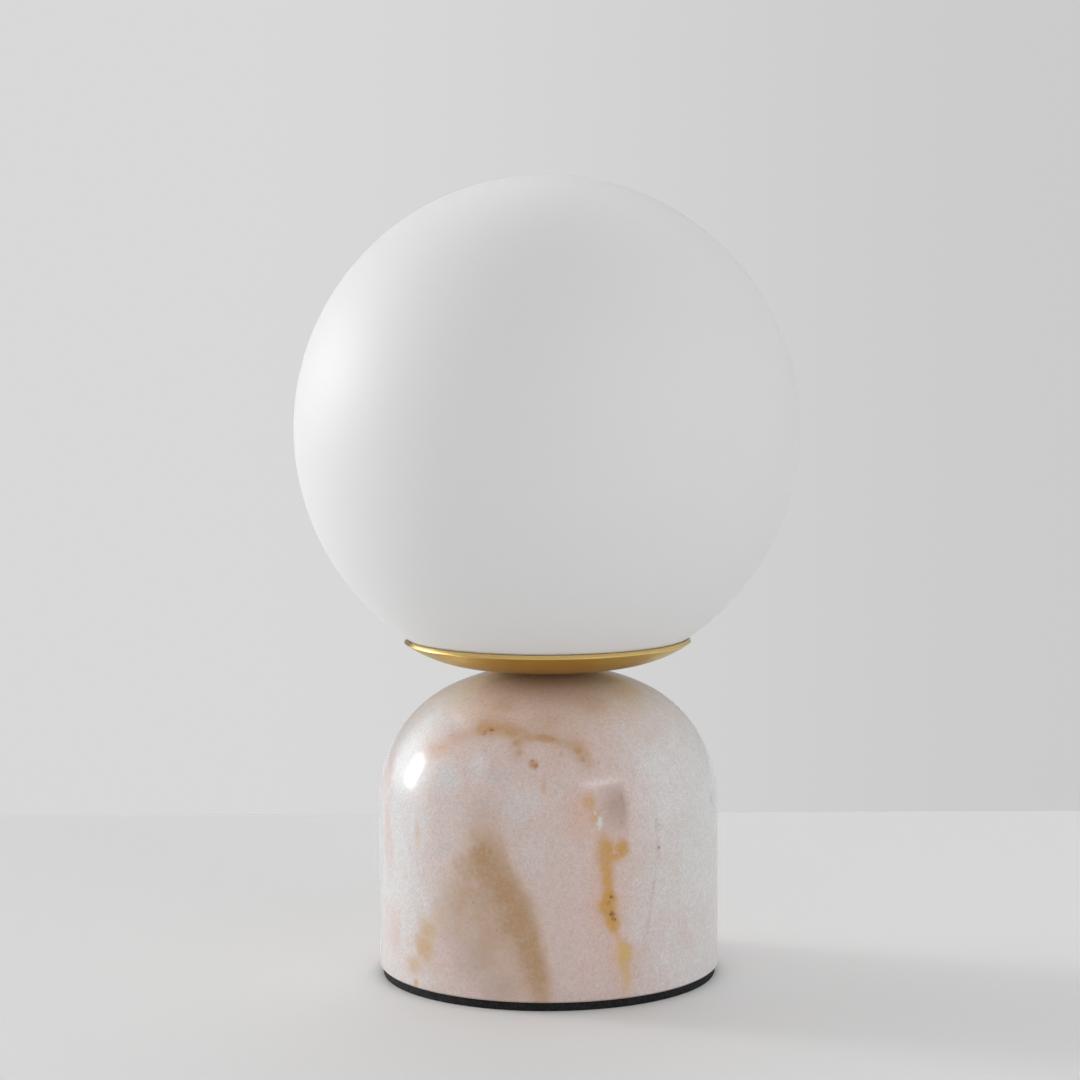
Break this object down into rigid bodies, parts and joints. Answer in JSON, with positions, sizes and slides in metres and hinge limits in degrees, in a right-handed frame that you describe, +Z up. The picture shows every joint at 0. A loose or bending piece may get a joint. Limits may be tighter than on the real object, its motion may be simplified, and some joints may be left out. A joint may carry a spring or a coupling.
{
  "type": "table lamp",
  "caption": "Table lamp: an opal glass globe cupped by a shallow brass dish on a domed, veined marble drum, with a lamp holder and push-in bulb inside.",
  "frame": {"origin": "centre of the foot pad's underside, on the lamp's vertical axis", "axes": "+Z up along the lamp's axis, -Y towards the viewer in front, +Y the back where the cable goes in"},
  "size_m": [0.2, 0.2, 0.3178],
  "materials": {
    "opal_glass": "satin-etched opal white glass",
    "brass": "spun brass, satin with polished edges",
    "marble": "polished white and pink marble with ochre veins",
    "black_foam": "fine closed-cell foam rubber",
    "black_rubber": "moulded rubber, matt",
    "clear_silicone": "translucent white silicone",
    "zinc_steel": "zinc-plated steel",
    "spring_steel": "bright spring steel",
    "stem_steel": "plated steel",
    "white_plastic": "moulded plastic",
    "holder_ceramic": "unglazed steatite",
    "contact_bronze": "bronze contact strip",
    "bulb_ceramic": "smooth white ceramic",
    "bulb_cover": "opal plastic cover",
    "white_board": "white circuit board",
    "led_phosphor": "yellow phosphor"
  },
  "bodies": {
    "lamp": {"foot_pad": "black_foam", "marble_base": "marble", "cord_grommet": "black_rubber", "clamp_washer": "zinc_steel", "base_lock_washer": "zinc_steel", "base_nut": "zinc_steel", "stem_tube": "stem_steel", "stem_bush": "white_plastic", "dish_gasket": "black_rubber", "brass_dish": "brass", "globe_seal": "clear_silicone", "gallery_plate": "zinc_steel", "gallery_springs": "spring_steel", "spring_rivets": "zinc_steel", "dish_washer": "zinc_steel", "dish_nut": "brass", "stem_sleeve": "brass", "holder_cup": "brass", "holder_lock_washer": "zinc_steel", "holder_nut": "zinc_steel", "holder_bracket": "zinc_steel", "holder_ceramic": "holder_ceramic", "holder_screws": "zinc_steel", "contact_clips": "contact_bronze"},
    "globe": {"glass_globe": "opal_glass"},
    "bulb": {"bulb_pins": "stem_steel", "bulb_foot": "bulb_ceramic", "bulb_cover": "bulb_cover", "led_core": "white_board", "led_chips": "led_phosphor"}
  },
  "joints": [
    {"name": "globe_lift", "type": "slide", "parent": "lamp", "child": "globe", "axis": [0, 0, 1], "range_m": [0, 0.12]},
    {"name": "bulb_pull", "type": "slide", "parent": "lamp", "child": "bulb", "axis": [0, 0, 1], "range_m": [0, 0.018]}
  ]
}
